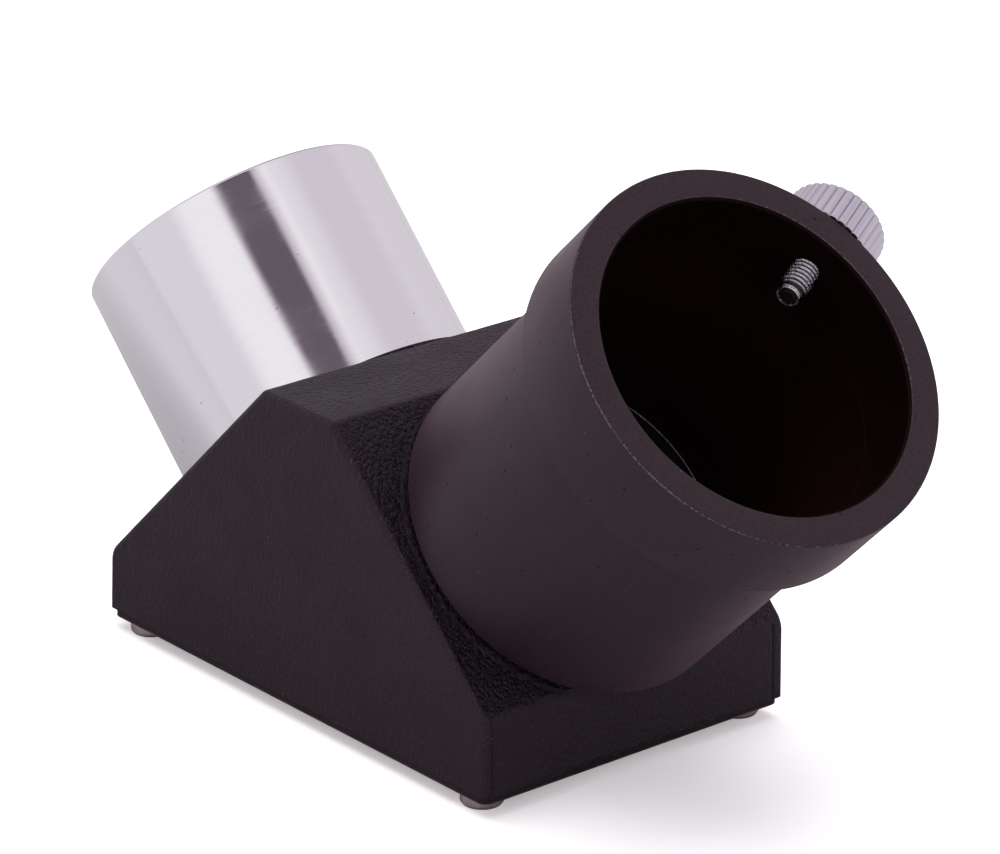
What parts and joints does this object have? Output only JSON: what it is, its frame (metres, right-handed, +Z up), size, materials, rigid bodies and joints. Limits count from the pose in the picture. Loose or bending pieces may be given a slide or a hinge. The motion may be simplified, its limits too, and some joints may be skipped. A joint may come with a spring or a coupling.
{
  "type": "star diagonal",
  "caption": "Right-angle mirror star diagonal: triangular housing, bright nosepiece barrel and a black collared eyepiece tube with a fluted thumbscrew.",
  "frame": {"origin": "centre of the nosepiece's shoulder, where the barrel meets the housing and seats against a focuser", "axes": "+Z up with the object resting on its base screws, +X from the nosepiece towards the eyepiece tube, +Y towards the thumbscrew's side; both tubes lie in the XZ plane at 45 degrees"},
  "size_m": [0.1019, 0.042, 0.0603],
  "materials": {
    "black_plastic": "leather grain",
    "bright_aluminium": "turned and polished",
    "black_anodised": "satin black",
    "dark_aluminium": "matt black",
    "black_plate": "satin black",
    "mirror_glass": "first-surface aluminised",
    "bonding_pad": "matt",
    "black_nylon": "satin",
    "bright_chrome": "bright plated",
    "zinc_steel": "zinc plated"
  },
  "bodies": {
    "diagonal": {"housing": "black_plastic", "nosepiece": "bright_aluminium", "nosepiece_ring_nut": "dark_aluminium", "eyepiece_tube": "black_anodised", "eyepiece_tube_ring_nut": "dark_aluminium", "eyepiece_stop_ring": "dark_aluminium", "base_plate": "black_plate", "mirror": "mirror_glass", "mirror_pad": "bonding_pad", "base_screw_1": "zinc_steel", "base_screw_2": "zinc_steel", "base_screw_3": "zinc_steel", "base_screw_4": "zinc_steel"},
    "thumbscrew_tip": {"thumbscrew_tip": "black_nylon"},
    "thumbscrew": {"thumbscrew_stud": "bright_chrome", "thumbscrew_knob": "bright_chrome"}
  },
  "joints": [
    {"name": "thumbscrew_travel", "type": "slide", "parent": "diagonal", "child": "thumbscrew_tip", "axis": [-0.3455, 0.8725, 0.3455], "range_m": [0, 0.0042]},
    {"name": "thumbscrew_turn", "type": "hinge", "parent": "thumbscrew_tip", "child": "thumbscrew", "pos_m": [0.05233, 0.01396, 0.02785], "axis": [-0.3455, 0.8725, 0.3455], "range_deg": [0, 3024]}
  ],
  "couplings": [
    {"joint": "thumbscrew_turn", "follows": "thumbscrew_travel", "rad_per_m": 12566}
  ]
}
